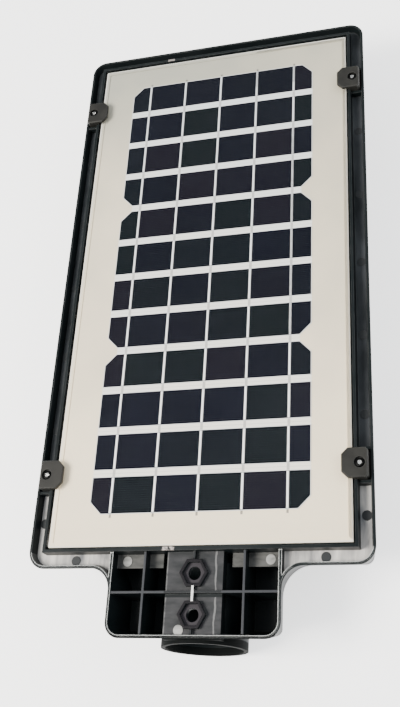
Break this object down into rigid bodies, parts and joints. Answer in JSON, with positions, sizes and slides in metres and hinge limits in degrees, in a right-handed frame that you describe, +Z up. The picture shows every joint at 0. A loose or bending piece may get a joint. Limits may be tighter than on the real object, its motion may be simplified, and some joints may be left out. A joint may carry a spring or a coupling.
{
  "type": "solar street lamp",
  "caption": "Flat rectangular solar street lamp with a clipped-in panel on top, light bays beneath and a tubular pole socket at one end",
  "frame": {"origin": "centre of the pole socket mouth, on the socket axis", "axes": "+Y runs from the socket mouth to the far end of the lamp, +X across the lamp, +Z up out of the solar panel; the lights face -Z"},
  "size_m": [0.2406, 0.4818, 0.068],
  "materials": {
    "shell_black": "satin moulded black",
    "clip_plastic": "matte dark grey",
    "panel_glass": "clear, low iron",
    "silicon": "near-black blue, fine lined",
    "backsheet": "warm white",
    "encapsulant": "cured laminating film",
    "tinned_ribbon": "bright tinned",
    "foam": "closed-cell foam",
    "seal_rubber": "matte black",
    "box_plastic": "black",
    "screw_steel": "bright steel",
    "lens_clear": "clear moulded",
    "light_laminate": "white solder mask over aluminium",
    "chip_phosphor": "yellow phosphor in a white case",
    "cell_wrap": "blue shrink wrap",
    "cradle_plastic": "black",
    "nickel_strip": "nickel plated",
    "board_laminate": "green solder mask",
    "component_case": "moulded black",
    "plug_plastic": "natural white",
    "lead_cover": "flexible cover, red and black",
    "sensor_can": "nickel can",
    "dome_milky": "milky translucent",
    "window_dark": "dark red tinted",
    "button_rubber": "moulded dark rubber",
    "spring_steel": "spring wire"
  },
  "bodies": {
    "lamp": {"battery_cells": "cell_wrap", "battery_cradle": "cradle_plastic", "battery_leads": "lead_cover", "battery_pad": "foam", "battery_plug": "plug_plastic", "battery_screws": "screw_steel", "battery_strips": "nickel_strip", "board_screws": "screw_steel", "button_spring": "spring_steel", "cell_ribbons": "tinned_ribbon", "clip_screws": "screw_steel", "control_board": "board_laminate", "control_components": "component_case", "control_screws": "screw_steel", "cover_screws": "screw_steel", "cover_seal": "seal_rubber", "junction_box": "box_plastic", "junction_box_lid": "box_plastic", "lens_cover_left": "lens_clear", "lens_cover_right": "lens_clear", "lens_gasket_left": "seal_rubber", "lens_gasket_right": "seal_rubber", "light_board_left": "light_laminate", "light_board_right": "light_laminate", "light_chips_left": "chip_phosphor", "light_chips_right": "chip_phosphor", "light_leads_left": "lead_cover", "light_leads_right": "lead_cover", "light_plugs": "plug_plastic", "lower_cover": "shell_black", "motion_sensor": "sensor_can", "panel_backsheet": "backsheet", "panel_clip_far_left": "clip_plastic", "panel_clip_far_right": "clip_plastic", "panel_clip_near_left": "clip_plastic", "panel_clip_near_right": "clip_plastic", "panel_edge_tape": "encapsulant", "panel_gasket": "foam", "panel_glass": "panel_glass", "panel_leads": "lead_cover", "receiver_window": "window_dark", "remote_receiver": "component_case", "sensor_board": "board_laminate", "sensor_dome": "dome_milky", "sensor_leads": "lead_cover", "sensor_plug": "plug_plastic", "sensor_screws": "screw_steel", "solar_cells": "silicon", "switch_body": "component_case", "upper_housing": "shell_black", "wire_sockets": "plug_plastic"},
    "button": {"power_button": "button_rubber", "switch_plunger": "plug_plastic"}
  },
  "joints": [
    {"name": "button_press", "type": "slide", "parent": "lamp", "child": "button", "axis": [0, 0, 1], "range_m": [0, 0.0016], "stiffness_N_per_m": 400, "springref_m": -0.0012, "deforming": ["button_spring"]}
  ]
}
